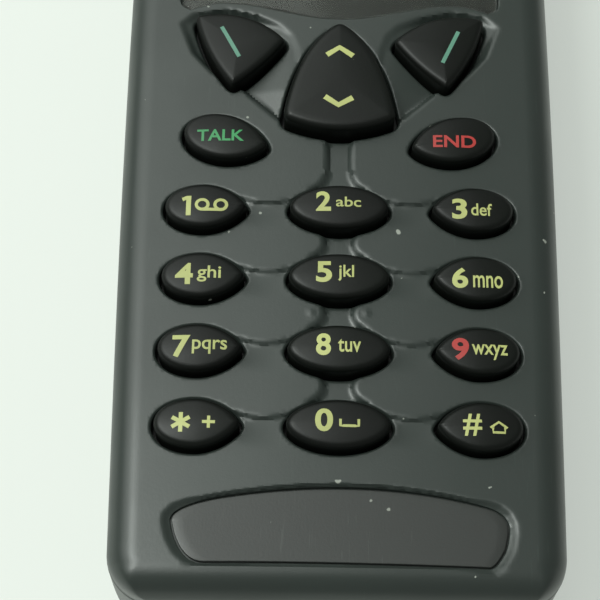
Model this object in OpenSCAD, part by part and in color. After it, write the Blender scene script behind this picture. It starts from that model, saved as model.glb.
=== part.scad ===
/* [Body] */
// Distance of the foot of the body from the zero line of all lengths
foot_u = 2.2; // [2:0.1:2.6]
// Distance of the top of the body from the zero line
top_u = 131; // [130:0.5:133]
// Half of the body width at its foot
half_foot = 22.15; // [22:0.05:22.4]
// How much the half width grows from the foot to the display
half_gain = 1.35; // [1.2:0.05:1.5]
// Height of the seam between the front and rear covers
seam_z = 17.5; // [17.3:0.1:17.8]
// Height of the seam where it sweeps up at the foot
foot_seam_z = 23.8; // [23:0.1:24]
// Height of the front face above the back of the battery
face_z = 28; // [27.8:0.1:28.4]
// Wall thickness of the two covers
wall = 1.7; // [1.5:0.1:1.8]
// Radius of the rounded edge round the front face
edge_r = 3.2; // [2.8:0.1:3.4]
// How much lower the front face is along its edge than in its middle
face_crown = 0.35; // [0.25:0.05:0.45]
// Corner radius of the body at its foot, seen from the front
foot_r = 4.8; // [4.5:0.1:5.5]
// Corner radius of the body at its top, seen from the front
top_r = 13; // [11:0.5:14]

/* [Keypad] */
// Distance between the key columns
col_pitch = 13.8; // [13.6:0.1:14]
// Distance between the key rows
row_pitch = 7.85; // [7.7:0.05:8]
// Distance of the first digit row from the zero line
row1_u = 42.4; // [42:0.1:42.8]
// Height of the key tops above the front face
key_proud = 1.4; // [1:0.05:1.5]
// Gap between a key and the edge of its opening
key_gap = 0.3; // [0.25:0.05:0.35]

/* [Antenna] */
// Distance of the antenna from the middle of the body
antenna_x = -14.6; // [-14.8:0.1:-14.4]
// Height of the antenna axis
antenna_z = 13.2; // [13:0.1:13.4]
// Length of the stub above the top of the body
stub_len = 14; // [10:1:18]
// Radius of the whip rod
whip_r = 0.9; // [0.8:0.05:0.95]
// Distance of the lower end of the whip from the zero line, pushed in
whip_foot_u = 32; // [30:1:36]

/* [Battery] */
// Distance of the upper end of the battery from the zero line
battery_top_u = 96; // [94:0.5:97]
// Height of the joint between the battery and the rear cover
battery_z = 8.8; // [8.6:0.1:9]
// Clearance between the battery and the rear cover
battery_gap = 0.3; // [0.25:0.05:0.35]

/* [Hidden] */
eps = 0.01;
front_h = face_z - seam_z;
tip_len = 5.4;
all_len = top_u - foot_u + stub_len + 0.3 + tip_len;
y_zero = -all_len / 2 - foot_u;
cover_colour = "#4c5450";
key_colour = "#2e3331";
board_colour = "#2f6b3c";
metal_colour = "#b9bcbd";

// Points of a body section, from one end of the seam to the other
SEC = 18;
// How much the sides of the front half lean in
draft = 0.3;
function sup(t, n) = [sign(cos(t)) * pow(abs(cos(t)), 2 / n),
                      pow(abs(sin(t)), 2 / n)];
// Half width of the body at the seam plane, at distance u from the zero line
function half_raw(u) = u < 74 ? half_foot + half_gain * sin(90 * u / 74)
    : half_foot + half_gain - 0.7 * pow((u - 74) / 57, 2);
// How far a plan corner of radius r takes the side in, v from its end
function corner_in(v, r) = v < r ? r - sqrt(max(0, r * r - pow(r - v, 2))) : 0;
function half_w(u) = half_raw(u) - corner_in(u - foot_u, foot_r) - corner_in(top_u - u, top_r);
// Rounding of a long edge at one end, d deep and l long
function ease(v, l, d) = v < l ? d * (1 - sqrt(max(0, 1 - pow((l - v) / l, 2)))) : 0;
function front_rise(u) = front_h - ease(u - foot_u, edge_r, edge_r) - ease(top_u - u, 10, 4.8);
function rear_drop(u) = seam_z + 0.4 - ease(u - foot_u, 9, 8.4) - ease(top_u - u, 16, 8.5);
// Height of the seam, which sweeps up at the foot
function seam(u) = let (t = min(1, max(0, (15 - u) / 8)))
    seam_z + (foot_seam_z - seam_z) * t * t * (3 - 2 * t);
// Size of the rounding beside the face at distance u, across and down
function edge_x(u) = max(0.1, min(edge_r, u - foot_u));
function edge_z(u) = max(0.1, min(edge_r - ease(u - foot_u, edge_r, edge_r), 0.6 * front_rise(u)));
function face_half(u) = half_w(u) - draft - edge_x(u);
// Height of the outer front surface over the face
function skin_z(x, u) = seam_z + front_rise(u) - face_crown * pow(min(1, abs(x) / face_half(u)), 2);
// Right half of a front section: wall foot, wall top, four points of the edge
// and four of the face
function front_half(u, base, t) = let (w = half_w(u) - t, h = seam_z + front_rise(u) - t,
    ex = max(0.1, edge_x(u) - t), ez = max(0.1, edge_z(u) - t), f = w - draft - ex)
    concat([[w - draft * (base - seam_z) / front_h, base]],
        [for (a = [0:22.5:90])
          [f + ex * cos(a), max(base + 0.1, h - face_crown - ez + ez * sin(a))]],
        [for (k = [3:-1:0]) [f * k / 4, max(base + 0.15, h - face_crown * k * k / 16)]]);

STATIONS = concat([for (d = [0, 0.35, 1.1, 2.1, 3.3, 4.8, 7, 9.5, 12.8, 17]) foot_u + d],
  [30, 44, 66, 88], [for (d = [21, 14, 10, 6.5, 3.7, 1.7, 0.5, 0]) top_u - d]);

// One half of the body as a closed solid. dir is 1 for the front half and
// -1 for the rear half. inset shrinks it evenly to make the cavity, which
// reaches past the seam.
module half_body(dir, inset) {
  last = len(STATIONS) - 1;
  past = inset > 0 ? 1 : 0;
  function uu(k) = foot_u + inset
      + (STATIONS[k] - foot_u) * (top_u - foot_u - 2 * inset) / (top_u - foot_u);
  function ring(k) = let (u = STATIONS[k], base = seam(uu(k)) - dir * past)
      dir > 0 ? let (h = front_half(u, base, inset))
          concat(h, [for (i = [len(h) - 2:-1:0]) [-h[i][0], h[i][1]]])
      : [for (i = [0:SEC]) let (q = sup(180 * i / SEC, 4.4), w = half_w(u) - inset)
          i == 0 || i == SEC ? [q[0] * (w - draft * max(0, base - seam_z) / front_h), base]
          : [w * q[0], max(inset, seam_z - (rear_drop(u) - inset) * q[1])]];
  pts = [for (k = [0:last]) each [for (q = ring(k)) [q[0], uu(k), q[1]]]];
  n = SEC + 1;
  sides = [for (k = [0:last - 1]) for (i = [0:SEC])
      let (a = k * n + i, b = k * n + (i + 1) % n, c = a + n, d = b + n)
      each [[a, b, d], [a, d, c]]];
  first_cap = [[for (i = [SEC:-1:0]) i]];
  last_cap = [[for (i = [0:SEC]) last * n + i]];
  faces = concat(sides, first_cap, last_cap);
  flip = [for (f = faces) [for (j = [len(f) - 1:-1:0]) f[j]]];
  polyhedron(points = pts, faces = dir > 0 ? faces : flip, convexity = 6);
}

// Ring helpers for shapes built from stacked outlines
function centre(p) = let (s = [for (i = [0:1]) [for (q = p) q[i]] * [for (q = p) 1]])
    s / len(p);
function pull(p, c, d) = [for (q = p) let (v = q - c) c + v * (1 - d / norm(v))];
// Stacks outlines: each row of lay is [inset, height, share of the crown]
module stack(p, lay) {
  c = centre(p);
  n = len(p);
  m = len(lay);
  pts = [for (r = lay) each
      [for (q = pull(p, c, r[0])) [q[0], q[1], r[1] + r[2] * (skin_z(q[0], q[1]) - face_z)]]];
  sides = [for (k = [0:m - 2]) for (i = [0:n - 1])
      let (a = k * n + i, b = k * n + (i + 1) % n)
      each [[a, a + n, b + n], [a, b + n, b]]];
  top = [c[0], c[1], lay[m - 1][1] + lay[m - 1][2] * (skin_z(c[0], c[1]) - face_z) + 0.04];
  fan = [for (i = [0:n - 1]) [(m - 1) * n + i, n * m, (m - 1) * n + (i + 1) % n]];
  polyhedron(points = concat(pts, [top]),
      faces = concat(sides, fan, [[for (i = [0:n - 1]) i]]), convexity = 4);
}

// Outlines of the keys, counter-clockwise, in body coordinates
KP = 20;
function lobe(a, p, q, b, t) = [a * sign(cos(t)) * pow(abs(cos(t)), 2 / p),
                                b * sign(sin(t)) * pow(abs(sin(t)), 2 / q)];
// A drop whose tip points along +X, turned by rot
function drop(x, u, al, ar, b, rot) = [for (i = [0:KP - 1])
    let (t = 360 * i / KP,
         v = abs(cos(t)) < 1e-6 ? [0, b * sign(sin(t))]
             : cos(t) > 0 ? lobe(ar, 1.8, 1.5, b, t) : lobe(al, 2.1, 2, b, t))
    [x + v[0] * cos(rot) - v[1] * sin(rot), u + v[0] * sin(rot) + v[1] * cos(rot)]];
function lemon(x, u) = [for (i = [0:KP - 1])
    let (v = lobe(5.35, 1.95, 1.9, 2.8, 360 * i / KP)) [x + v[0], u + v[1]]];
function bez(a, m, b, t) = a * (1 - t) * (1 - t) + m * 2 * t * (1 - t) + b * t * t;
// A closed outline from corner points v and edge control points m. Each row of
// cut is the share of an edge that its first and its last corner take.
function blob(v, m, cut, ne, nc) = let (n = len(v)) [for (k = [0:n - 1])
    let (j = (k + 1) % n, a = v[k], b = v[j], c = v[(k + 2) % n],
         f = cut[k][0], l = 1 - cut[k][1],
         e = bez(a, m[k], b, l), s = bez(b, m[j], c, cut[j][0]))
    each concat([for (i = [0:ne - 1]) bez(a, m[k], b, f + (l - f) * i / ne)],
                [for (i = [0:nc - 1]) bez(e, b, s, i / nc)])];
function flip_x(p) = [for (i = [len(p) - 1:-1:0]) [-p[i][0], p[i][1]]];

row2_u = row1_u - row_pitch;
row3_u = row1_u - 2 * row_pitch;
row4_u = row1_u - 3 * row_pitch;
function side_key(s, u) = s < 0 ? drop(-col_pitch - 0.1, u, 4.3, 4.6, 2.8, 0)
    : flip_x(drop(-col_pitch - 0.1, u, 4.3, 4.6, 2.8, 0));
talk_out = drop(-12.2, row1_u + 8.2, 4.5, 5, 2.95, -13);
end_out = flip_x(talk_out);
soft_out = blob([[-16.1, 65.9], [-11.5, 56.4], [-5.4, 62.6]],
    [[-15, 60.5], [-8, 58.8], [-9.6, 67.4]], [for (k = [0:2]) [0.09, 0.09]], 6, 4);
soft_right_out = flip_x(soft_out);
scroll_out = blob([[0, 65.2], [-6.5, 52.5], [6.5, 52.5]],
    [[-5, 62.6], [0, 49.2], [5, 62.6]], [for (k = [0:2]) [0.08, 0.08]], 7, 3);
label_out = blob([[-16.1, 10.85], [-14.55, 5.35], [14.95, 5.2], [16.55, 10.55]],
    [[-15.9, 8.3], [-2.35, 5.65], [16.1, 6.25], [1.9, 15.2]],
    [[0.27, 0.49], [0.08, 0.02], [0.49, 0.25], [0.08, 0.13]], 8, 5);

// Outline of the display window, with its waved lower edge
function wave(x) = 66.1 + 2 * pow(sin(90 * min(abs(x), 13) / 13), 2)
    - (abs(x) > 13 ? 0.9 * pow((abs(x) - 13) / 3.4, 1.5) : 0);
window_out = concat([for (x = [-16.4:1.64:16.45]) [x, wave(x)]],
    [for (t = [-60:20:0]) [16.7 + 0.8 * cos(t), 68.4 + 0.9 * sin(t)]],
    [for (t = [0:15:90]) [13.9 + 3.8 * cos(t), 101.8 + 3.4 * sin(t)]],
    [for (x = [9:-4.5:-9]) [x, 106.4 - 1.2 * pow(x / 13.9, 2)]],
    [for (t = [90:15:180]) [-13.9 + 3.8 * cos(t), 101.8 + 3.4 * sin(t)]],
    [for (t = [180:20:240]) [-16.7 + 0.8 * cos(t), 68.4 + 0.9 * sin(t)]]);
window_mid = [0, 86];

// Plan of a board or plate that lies inside the covers
function plate(d, u0, u1) = let (m = 24)
    concat([for (i = [0:m]) let (u = u0 + (u1 - u0) * i / m) [half_w(u) - d, u]],
           [for (i = [m:-1:0]) let (u = u0 + (u1 - u0) * i / m) [-half_w(u) + d, u]]);

module prism(p, z0, z1) {
  translate([0, 0, z0]) linear_extrude(z1 - z0) polygon(p);
}
module box(x0, x1, u0, u1, z0, z1) {
  translate([x0, u0, z0]) cube([x1 - x0, u1 - u0, z1 - z0]);
}
// Stands the body on its own frame
module set_down() {
  translate([0, y_zero, 0]) children();
}
// A rod along the length of the body
module rod(x, z, r, u0, u1, n = 48) {
  translate([x, u0, z]) rotate([-90, 0, 0]) cylinder(r = r, h = u1 - u0, $fn = n);
}

KEYS = [
  ["key_1", side_key(-1, row1_u)], ["key_2", lemon(0, row1_u)],
  ["key_3", side_key(1, row1_u)], ["key_4", side_key(-1, row2_u)],
  ["key_5", lemon(0, row2_u)], ["key_6", side_key(1, row2_u)],
  ["key_7", side_key(-1, row3_u)], ["key_8", lemon(0, row3_u)],
  ["key_9", side_key(1, row3_u)], ["key_star", side_key(-1, row4_u)],
  ["key_0", lemon(0, row4_u)], ["key_hash", side_key(1, row4_u)],
  ["key_talk", talk_out], ["key_end", end_out],
  ["soft_key_left", soft_out], ["soft_key_right", soft_right_out],
  ["scroll_key", scroll_out]];

// Screw places, [x, u]
SCREWS = [[-17.8, 10.5], [17.8, 10.5], [-19.5, 73], [19.5, 73], [18.4, 112]];
EAR_U = 115.5;
// Place of the scroll key's rocking axis, [u, z]
scroll_axis = [56.7, 25.3];

module front_cover() {
  color(cover_colour) set_down() difference() {
    union() {
      difference() {
        half_body(1, 0);
        half_body(1, wall);
        // pocket that clears the key flanges
        box(-19.4, 19.4, 12, 68, seam_z - 1, 26.25);
      }
      for (s = SCREWS) box(s[0] - 2.2, s[0] + 2.2, s[1] - 2.4, s[1] + 2.4, 20.8, 25.3);
    }
    for (k = KEYS) prism(k[1], 20, 34);
    // seat and opening of the display window
    prism(window_out, 26.8, 34);
    box(-15.2, 15.2, 72, 100.5, 20, 34);
    // seat of the label plate
    prism(label_out, 27.05, 34);
    // channel down the middle of the keypad
    for (u = [row4_u, row3_u, row2_u, row1_u])
      prism([[-2.6, u + 2.4], [2.6, u + 2.4], [1.35, u + 3.9], [1.2, u + 4.8],
        [1.9, u + 5.6], [-1.9, u + 5.6], [-1.2, u + 4.8], [-1.35, u + 3.9]], 27.5, 34);
    prism([[-1.2, row1_u + 4.7], [1.2, row1_u + 4.7], [1.3, 51], [-1.3, 51]], 27.5, 34);
    // shallow steps between the key columns
    for (u = [row1_u, row2_u, row3_u, row4_u]) for (s = [-1, 1])
      translate([s * 7.3, u + 1.2, 27.45]) rotate([-8, 0, 0])
        translate([-2.6, -2.4, 0]) cube([5.2, 2.4, 2]);
    // earpiece slots
    for (i = [-2:2]) translate([0, EAR_U + i * 2.1, 20]) linear_extrude(14) hull() {
      translate([-4.4 + abs(i), 0]) circle(0.5, $fn = 12);
      translate([4.4 - abs(i), 0]) circle(0.5, $fn = 12);
    }
    // volume rocker: scoop and opening on the left side
    translate([-24.4, 92, 20.3]) cube([2.9, 19, 5.4], center = true);
    box(-26, -17.5, 84.7, 99.3, 18.5, 22.1);
    // power key opening in the top
    box(1.4, 10.6, 120, 133, 19.4, 22.9);
    // antenna hole
    rod(antenna_x, antenna_z, 5.3, 118, 133, 28);
    for (s = SCREWS) translate([s[0], s[1], 18])
      cylinder(r = 1.65, h = 6.2, $fn = 16);
  }
}

module display_window() {
  color("#1c211f") set_down() intersection() {
    prism(pull(window_out, window_mid, 0.15), 26.85, 34);
    translate([0, 0, -0.12]) half_body(1, 0);
  }
}
module label_plate() {
  color("#474c4a") set_down() prism(pull(label_out, [0.1, 8.8], 0.2), 27.05, 27.5);
}
module earpiece_mesh() {
  color("#1d1f1f") set_down() translate([0, EAR_U, 25.75])
    cylinder(r = 6.1, h = 0.3, $fn = 48);
}
module earpiece_gasket() {
  color("#26292a") set_down() translate([0, EAR_U, 24.95]) difference() {
    cylinder(r = 6.4, h = 0.8, $fn = 48);
    translate([0, 0, -1]) cylinder(r = 5, h = 3, $fn = 48);
  }
}
module earpiece_capsule() {
  color("#8f9294") set_down() translate([0, EAR_U, 21.65]) union() {
    cylinder(r = 6.2, h = 3.3, $fn = 48);
    translate([0, 0, -0.05]) cylinder(r = 4.2, h = 0.2, $fn = 48);
  }
}
module lcd_glass() {
  color("#7f8b6c") set_down() union() {
    box(-15.6, 15.6, 71, 101.5, 24.9, 25.7);
    box(-15.6, 15.6, 68.4, 101.5, 24.1, 24.9);
  }
}
module lcd_frame() {
  color("#d9dcd6") set_down() difference() {
    box(-16.6, 16.6, 67.4, 102.6, 21.6, 25);
    box(-15.7, 15.7, 68.3, 101.6, 24.1, 26);
    box(-13, 13, 72, 99, 21, 22.8);
    box(-14.3, 14.3, 68.6, 70.4, 21, 25);
  }
}
module lcd_connector() {
  color("#3a3a3c") set_down() box(-14, 14, 68.8, 70.2, 21.6, 24.1);
}
// The rubber sheet under the keys, with a hole for each key foot
module keypad_mat() {
  color("#3b403e") set_down() difference() {
    box(-19, 19, 13.6, 66.6, 22.95, 23.75);
    for (k = KEYS) let (c = centre(k[1])) translate([c[0], c[1], 22])
      cylinder(r = k[0] == "scroll_key" ? 3.4 : 1.5, h = 3, $fn = 32);
  }
}
module dome_sheet() {
  color("#c4c6c2") set_down() union() {
    box(-18.6, 18.6, 14, 66.2, 21.6, 21.8);
    for (k = KEYS) let (c = centre(k[1])) if (k[0] != "scroll_key")
      translate([c[0], c[1], 21.8 - eps]) cylinder(r1 = 1.9, r2 = 1.2, h = 0.35, $fn = 32);
    for (d = [-2.6, 2.6]) translate([0, centre(scroll_out)[1] + d, 21.8 - eps])
      cylinder(r1 = 1.9, r2 = 1.2, h = 0.3, $fn = 32);
  }
}
module ui_board() {
  color(board_colour) set_down() difference() {
    prism(plate(3.1, 8.6, 122.8), 20.6, 21.6);
    for (s = SCREWS) box(s[0] - 2.5, s[0] + 2.5, s[1] - 2.7, s[1] + 2.7, 20, 23);
    box(-26, -18.1, 83.6, 100.4, 20, 23);
  }
}
module keypad_lamps() {
  color("#d7dca0") set_down() for (x = [-6.9, 6.9]) for (u = [22.8, 30.7, 38.5, 46.4])
    box(x - 0.8, x + 0.8, u - 0.5, u + 0.5, 21.8, 22.4);
}
module chassis_frame() {
  color("#9ea3a4") set_down() difference() {
    union() {
      prism(plate(3, 8.4, 123.4), 18.9, 20.4);
      box(-19.6, -18.6, 20, 66, 17.8, 18.9);
      box(18.6, 19.6, 20, 66, 17.8, 18.9);
      box(-8, 14, 122, 123.2, 17.8, 18.9);
    }
    for (s = SCREWS) translate([s[0], s[1], 10]) cylinder(r = 1.25, h = 20, $fn = 48);
    box(-9, 9, 30, 56, 18, 22);
    box(-26, -18.1, 83.6, 100.4, 10, 22.5);
    rod(antenna_x, antenna_z, 5.9, 117, 133);
  }
}
module main_board() {
  color(board_colour) set_down() difference() {
    prism(plate(3.1, 8.6, 122.8), 16.6, 17.7);
    for (s = SCREWS) translate([s[0], s[1], 10]) cylinder(r = 2, h = 10, $fn = 32);
    rod(antenna_x, antenna_z, 6, 116, 133);
  }
}
module rf_shields() {
  color(metal_colour) set_down() {
    for (b = [[-11.5, 3, 69, 85.6], [7, 18.5, 78, 104], [-11.5, 5, 92, 113]]) difference() {
      box(b[0], b[1], b[2], b[3], 13.4, 16.6);
      box(b[0] + 0.4, b[1] - 0.4, b[2] + 0.4, b[3] - 0.4, 13.8, 17);
    }
  }
}
module buzzer() {
  color("#2a2c2d") set_down() translate([12, 66, 13.2]) difference() {
    cylinder(r = 4.4, h = 3.4, $fn = 48);
    translate([0, 0, -1]) cylinder(r = 0.9, h = 2.4, $fn = 32);
  }
}
module microphone() {
  color("#aeb2b3") set_down() rod(0, 20.55, 2, 4.7, 6.5);
}
module microphone_boot() {
  color("#26292a") set_down() difference() {
    box(-3, 3, 4.1, 7.6, 18.4, 22.2);
    rod(0, 20.55, 2.02, 4.7, 6.5);
    rod(0, 20.55, 0.7, 3, 5);
  }
}
module system_connector() {
  color("#222526") set_down() difference() {
    box(-7.4, 7.4, 4.1, 11.2, 11, 16.6);
    box(-6.4, 6.4, 2, 7.7, 12, 15.4);
  }
  color("#c9a24a") set_down() for (i = [-5:5])
    box(i * 1.1 - 0.25, i * 1.1 + 0.25, 4.6, 8.2, 13.2, 13.7);
}
module charger_jack() {
  color("#222526") set_down() difference() {
    box(-14.6, -8.6, 4.8, 14.2, 11, 16.6);
    rod(-11.6, 13.75, 1.75, 2, 12.2);
  }
  color(metal_colour) set_down() box(-12.6, -10.6, 14.2, 15.2, 12.6, 16.6);
}
module backup_cell() {
  color(metal_colour) set_down() translate([13, 52, 14.4]) cylinder(r = 4.8, h = 2.2, $fn = 48);
}

// Solid that the battery takes out of the rear half, grown by g
module battery_zone(g) {
  box(-30, 30, -5, battery_top_u + g, -5, battery_z + g - battery_gap);
}
module rear_cover() {
  color(cover_colour) set_down() union() {
    difference() {
      half_body(-1, 0);
      difference() {
        half_body(-1, wall);
        box(-30, 30, -5, battery_top_u + 2.1, -5, battery_z + 1.6);
        for (s = SCREWS) box(s[0] - 2.55, s[0] + 2.55, s[1] - 2.7, s[1] + 2.7, -5, 16.4);
      }
      battery_zone(battery_gap);
      // openings for the connector, the charger and the latch
      box(-6.6, 6.6, 1, 5.2, 11.9, 15.5);
      rod(-11.6, 13.75, 2.4, 1, 5.7, 24);
      // microphone slot in the foot
      box(-1.6, 1.6, 1, 6, 20.2, 20.9);
      rod(antenna_x, antenna_z, 5.3, 117, 133, 28);
      box(-4.6, 4.6, 95, 99.7, 2.4, 6.2);
      box(-5.1, 5.1, 99, 107.2, -1, 3.2);
      box(-6.4, 6.4, 86, 91.6, 7, 12);
      for (s = SCREWS) translate([s[0], s[1], -1])
        cylinder(r = 1.25, h = 20, $fn = 16);
      for (s = SCREWS) translate([s[0], s[1], -1])
        cylinder(r = 2.2, h = s[1] > 100 ? 7 : 11, $fn = 16);
    }
    // cleats that hold the battery
    for (x = [-13, 13]) for (u = [20, 46, 72]) {
      box(x - 0.6, x + 0.6, u, u + 9, 6.2, battery_z + 0.2);
      box(min(x, x + sign(x) * 1.8), max(x, x + sign(x) * 1.8), u, u + 9, 6.2, 7.2);
    }
  }
}
module cover_screws() {
  color(metal_colour) set_down() for (s = SCREWS) translate([s[0], s[1], 0]) difference() {
    union() {
      translate([0, 0, s[1] > 100 ? 5.5 : 9.5]) cylinder(r = 0.95, h = s[1] > 100 ? 17.5 : 13.5, $fn = 48);
      translate([0, 0, s[1] > 100 ? 4.85 : 8.85]) cylinder(r = 1.95, h = 1.15, $fn = 48);
    }
    translate([0, 0, s[1] > 100 ? 4.5 : 8.5]) cylinder(r = 0.7, h = 1, $fn = 6);
  }
}
module threaded_inserts() {
  color("#c9a24a") set_down() for (s = SCREWS) translate([s[0], s[1], 20.8]) difference() {
    cylinder(r = 1.6, h = 3.2, $fn = 48);
    translate([0, 0, -1]) cylinder(r = 1, h = 6, $fn = 48);
  }
}
module antenna_base() {
  color("#1f2222") set_down() translate([antenna_x, 118.4, antenna_z]) rotate([-90, 0, 0])
    rotate_extrude($fn = 64) polygon([[0.97, 0], [4.9, 0], [5.15, 0.3], [5.15, 12.65],
      [5.5, 12.75], [5.5, 14.4], [5.1, 14.9], [4.5, 16.5], [4.1, 24], [3.9, 25.6],
      [3.4, 26.2], [2.4, 26.6], [0.97, 26.6]]);
}
module antenna_guide() {
  color("#c9a24a") set_down() difference() {
    rod(antenna_x, antenna_z, 1.9, whip_foot_u - 1.5, 118.4);
    rod(antenna_x, antenna_z, 1.5, whip_foot_u - 3, 120);
  }
}
module antenna_whip() {
  color(metal_colour) set_down() union() {
    rod(antenna_x, antenna_z, whip_r, whip_foot_u + 1, top_u + stub_len + 1);
    rod(antenna_x, antenna_z, 1.42, whip_foot_u, whip_foot_u + 4);
  }
}
module antenna_tip() {
  color("#1f2222") set_down() translate([antenna_x, top_u + stub_len + 0.3, antenna_z])
    rotate([-90, 0, 0]) difference() {
      rotate_extrude($fn = 48) polygon([[0, 0], [2.2, 0], [2.5, 0.4], [2.5, 3.2], [2, 4.6],
        [1.2, 5.2], [0, tip_len]]);
      translate([0, 0, -1]) cylinder(r = whip_r, h = 1.7, $fn = 48);
    }
}
module power_switch() {
  color("#d8d8d4") set_down() box(5.2, 8.4, 119.6, 122.6, 21.6, 23.2);
}
module volume_switch() {
  color("#d8d8d4") set_down() for (u = [86.4, 94.8]) box(-20.1, -18.1, u, u + 2.8, 19.4, 21.4);
}
module battery_contacts() {
  color("#c9a24a") set_down() for (x = [-4.5, -1.5, 1.5, 4.5]) union() {
    box(x - 0.5, x + 0.5, 87, 90.5, 8.7, 16.6);
    box(x - 0.9, x + 0.9, 87, 90.5, 12.4, 16.6);
  }
  color("#222526") set_down() difference() {
    box(-6, 6, 86.6, 91, 12.6, 13.3);
    for (x = [-4.5, -1.5, 1.5, 4.5]) box(x - 0.9, x + 0.9, 87, 90.5, 12, 14);
  }
}

// A key: foot, flange, neck and rounded cap
module key(p, foot) {
  c = centre(p);
  color(key_colour) set_down() union() {
    stack(p, [[-0.6, 24.7, 0], [-0.6, 25.85, 0], [key_gap, 25.85, 0],
      [key_gap, face_z + key_proud - 0.75, 1], [key_gap + 0.14, face_z + key_proud - 0.36, 1],
      [key_gap + 0.42, face_z + key_proud - 0.12, 1], [key_gap + 0.9, face_z + key_proud - 0.02, 1]]);
    if (foot) translate([c[0], c[1], 22.85]) cylinder(r = 1.1, h = 2.4, $fn = 32);
  }
}
module key_1() { key(KEYS[0][1], true); }
module key_2() { key(KEYS[1][1], true); }
module key_3() { key(KEYS[2][1], true); }
module key_4() { key(KEYS[3][1], true); }
module key_5() { key(KEYS[4][1], true); }
module key_6() { key(KEYS[5][1], true); }
module key_7() { key(KEYS[6][1], true); }
module key_8() { key(KEYS[7][1], true); }
module key_9() { key(KEYS[8][1], true); }
module key_star() { key(KEYS[9][1], true); }
module key_0() { key(KEYS[10][1], true); }
module key_hash() { key(KEYS[11][1], true); }
module key_talk() { key(KEYS[12][1], true); }
module key_end() { key(KEYS[13][1], true); }
module soft_key_left() { key(KEYS[14][1], true); }
module soft_key_right() { key(KEYS[15][1], true); }
// The scroll key rocks about a cross axis, and its cap stands higher
module scroll_key() {
  c = centre(scroll_out);
  color(key_colour) set_down() union() {
    stack(scroll_out, [[-0.55, 24.9, 0], [-0.55, 25.75, 0], [0.42, 25.75, 0],
      [0.42, 29.0, 0], [0.6, 29.5, 0], [0.95, 29.85, 0], [1.6, 30.0, 0]]);
    // pivot bar
    translate([-3, scroll_axis[0], scroll_axis[1]]) rotate([0, 90, 0])
      cylinder(r = 0.55, h = 6, $fn = 48);
    for (d = [-2.6, 2.6]) translate([c[0], c[1] + d, 22.75])
      cylinder(r = 0.7, h = 2.6, $fn = 32);
  }
}
module power_key() {
  color(key_colour) set_down() union() {
    box(1.8, 10.2, 124.2, 131.5, 19.8, 22.5);
    box(0.6, 11.4, 124.2, 125.6, 19.2, 23.1);
    box(5.4, 6.6, 123.2, 124.4, 21.9, 22.5);
  }
}
module volume_rocker() {
  color(key_colour) set_down() difference() {
    union() {
      box(-23.4, -20.9, 85.1, 98.9, 18.9, 21.7);
      box(-21.05, -20.4, 84.2, 99.8, 18.7, 21.9);
      // pivot post
      translate([-21, 92, 18.9]) cylinder(r = 0.65, h = 2.8, $fn = 48);
    }
    translate([-23.7, 92, 20.3]) rotate([0, 0, 45]) cube([1, 1, 6], center = true);
  }
}
module battery_case() {
  color(cover_colour) set_down() difference() {
    intersection() {
      half_body(-1, 0);
      box(-30, 30, -5, battery_top_u, -5, battery_z - battery_gap);
    }
    // chamber of the cells
    box(-18.6, 18.6, 10, 84, 1.4, 5.6);
    // channels that pass over the cleats
    for (s = [-1, 1]) {
      box(s * 13 - 1.0, s * 13 + 1.0, 17, battery_top_u + 5, 7.6, 12);
      box(min(s * 11.9, s * 15.3), max(s * 11.9, s * 15.3), 17, battery_top_u + 5, 5.9, 7.65);
    }
    // pocket of the latch, and the wells of the contact pads
    box(-5, 5, 94, 99, 2.1, 6.5);
    for (x = [-4.5, -1.5, 1.5, 4.5]) box(x - 1.1, x + 1.1, 86.4, 91.2, 8.1, 12);
  }
}
module battery_cells() {
  color("#3d5c8a") set_down() for (i = [0:2])
    box(-18.2, 18.2, 10.5 + i * 24.6, 10.5 + i * 24.6 + 24, 1.7, 5.4);
}
module battery_terminals() {
  color("#c9a24a") set_down() for (x = [-4.5, -1.5, 1.5, 4.5])
    box(x - 1, x + 1, 86.5, 91.1, 8.1, 8.3);
}
module battery_latch() {
  color(key_colour) set_down() difference() {
    union() {
      box(-4.2, 4.2, 94.6, 100.5, 3.2, 5.6);
      box(-4.2, 4.2, 99.5, 105, 0.6, 5.6);
    }
    for (i = [0:3]) box(-5, 5, 100.6 + i * 1.1, 101.1 + i * 1.1, 0, 1.1);
  }
}

front_cover();
display_window();
label_plate();
earpiece_mesh();
earpiece_gasket();
earpiece_capsule();
lcd_glass();
lcd_frame();
lcd_connector();
keypad_mat();
dome_sheet();
ui_board();
keypad_lamps();
chassis_frame();
main_board();
rf_shields();
buzzer();
microphone();
microphone_boot();
system_connector();
charger_jack();
backup_cell();
rear_cover();
cover_screws();
threaded_inserts();
antenna_base();
antenna_guide();
power_switch();
volume_switch();
battery_contacts();
key_1();
key_2();
key_3();
key_4();
key_5();
key_6();
key_7();
key_8();
key_9();
key_star();
key_0();
key_hash();
key_talk();
key_end();
soft_key_left();
soft_key_right();
scroll_key();
power_key();
volume_rocker();
antenna_whip();
antenna_tip();
battery_case();
battery_cells();
battery_terminals();
battery_latch();
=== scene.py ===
"""Looks of the candybar phone: covers, keys, printed marks, window, metal and rubber parts."""
import math

import bmesh
import bpy
from mathutils import Matrix, Vector
from mathutils.bvhtree import BVHTree


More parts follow.
